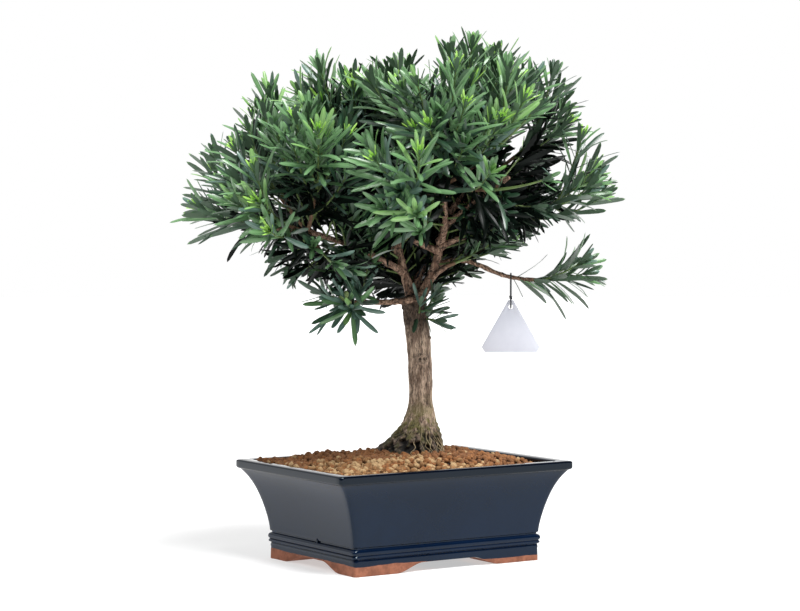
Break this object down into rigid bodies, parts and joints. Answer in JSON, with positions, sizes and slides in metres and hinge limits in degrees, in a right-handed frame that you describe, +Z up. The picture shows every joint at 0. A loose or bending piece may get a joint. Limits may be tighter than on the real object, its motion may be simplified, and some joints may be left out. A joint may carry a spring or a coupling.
{
  "type": "potted podocarpus bonsai tree",
  "caption": "Bonsai conifer with a slender trunk and a wide domed crown of strap-shaped leaves, in a rectangular glazed pot with a flared rim and bracket feet.",
  "frame": {"origin": "on the ground under the middle of the whole plant's bounding box", "axes": "+Z up, X along the pot's long side, Y along its short side"},
  "size_m": [0.443, 0.45, 0.5018],
  "materials": {
    "glaze": "glossy dark blue glaze, bare terracotta at the feet",
    "granules": "matt fired clay granules",
    "bark": "rough fissured bark",
    "foliage": "leathery, slightly glossy leaves",
    "card": "smooth white card",
    "tie": "thin dark cord"
  },
  "bodies": {
    "root": {"pot": "glaze", "soil": "granules", "trunk": "bark", "bough_back": "bark", "bough_back_left": "bark", "bough_back_right": "bark", "bough_front": "bark", "bough_front_left": "bark", "bough_front_right": "bark", "bough_inner_left": "bark", "bough_inner_right": "bark", "bough_left": "bark", "bough_left_leader": "bark", "bough_low_left": "bark", "bough_low_right": "bark", "bough_right": "bark", "bough_right_leader": "bark", "bough_tagged": "bark", "bough_top": "bark", "bough_top_left": "bark", "foliage_corner_1": "foliage", "foliage_corner_2": "foliage", "foliage_crest_1": "foliage", "foliage_crest_2": "foliage", "foliage_hanging_1": "foliage", "foliage_hanging_2": "foliage", "foliage_hanging_3": "foliage", "foliage_inner_left": "foliage", "foliage_low_left": "foliage", "foliage_low_left_outer": "foliage", "foliage_low_left_upright": "foliage", "foliage_low_right": "foliage", "foliage_shoulder_1": "foliage", "foliage_shoulder_2": "foliage", "foliage_shoulder_3": "foliage", "foliage_shoulder_4": "foliage", "foliage_shoulder_5": "foliage", "foliage_shoulder_6": "foliage", "foliage_shoulder_7": "foliage", "foliage_shoulder_8": "foliage", "foliage_shoulder_9": "foliage", "foliage_skirt_1": "foliage", "foliage_skirt_2": "foliage", "foliage_skirt_3": "foliage", "foliage_skirt_4": "foliage", "foliage_skirt_5": "foliage", "foliage_skirt_6": "foliage", "foliage_skirt_7": "foliage", "foliage_skirt_8": "foliage", "foliage_tagged": "foliage", "foliage_trunk_shoot": "foliage", "foliage_upper_1": "foliage", "foliage_upper_2": "foliage", "foliage_upper_3": "foliage", "foliage_upper_4": "foliage", "foliage_upper_5": "foliage", "foliage_upper_6": "foliage", "tag": "card", "tag_tie": "tie"}
  },
  "joints": []
}
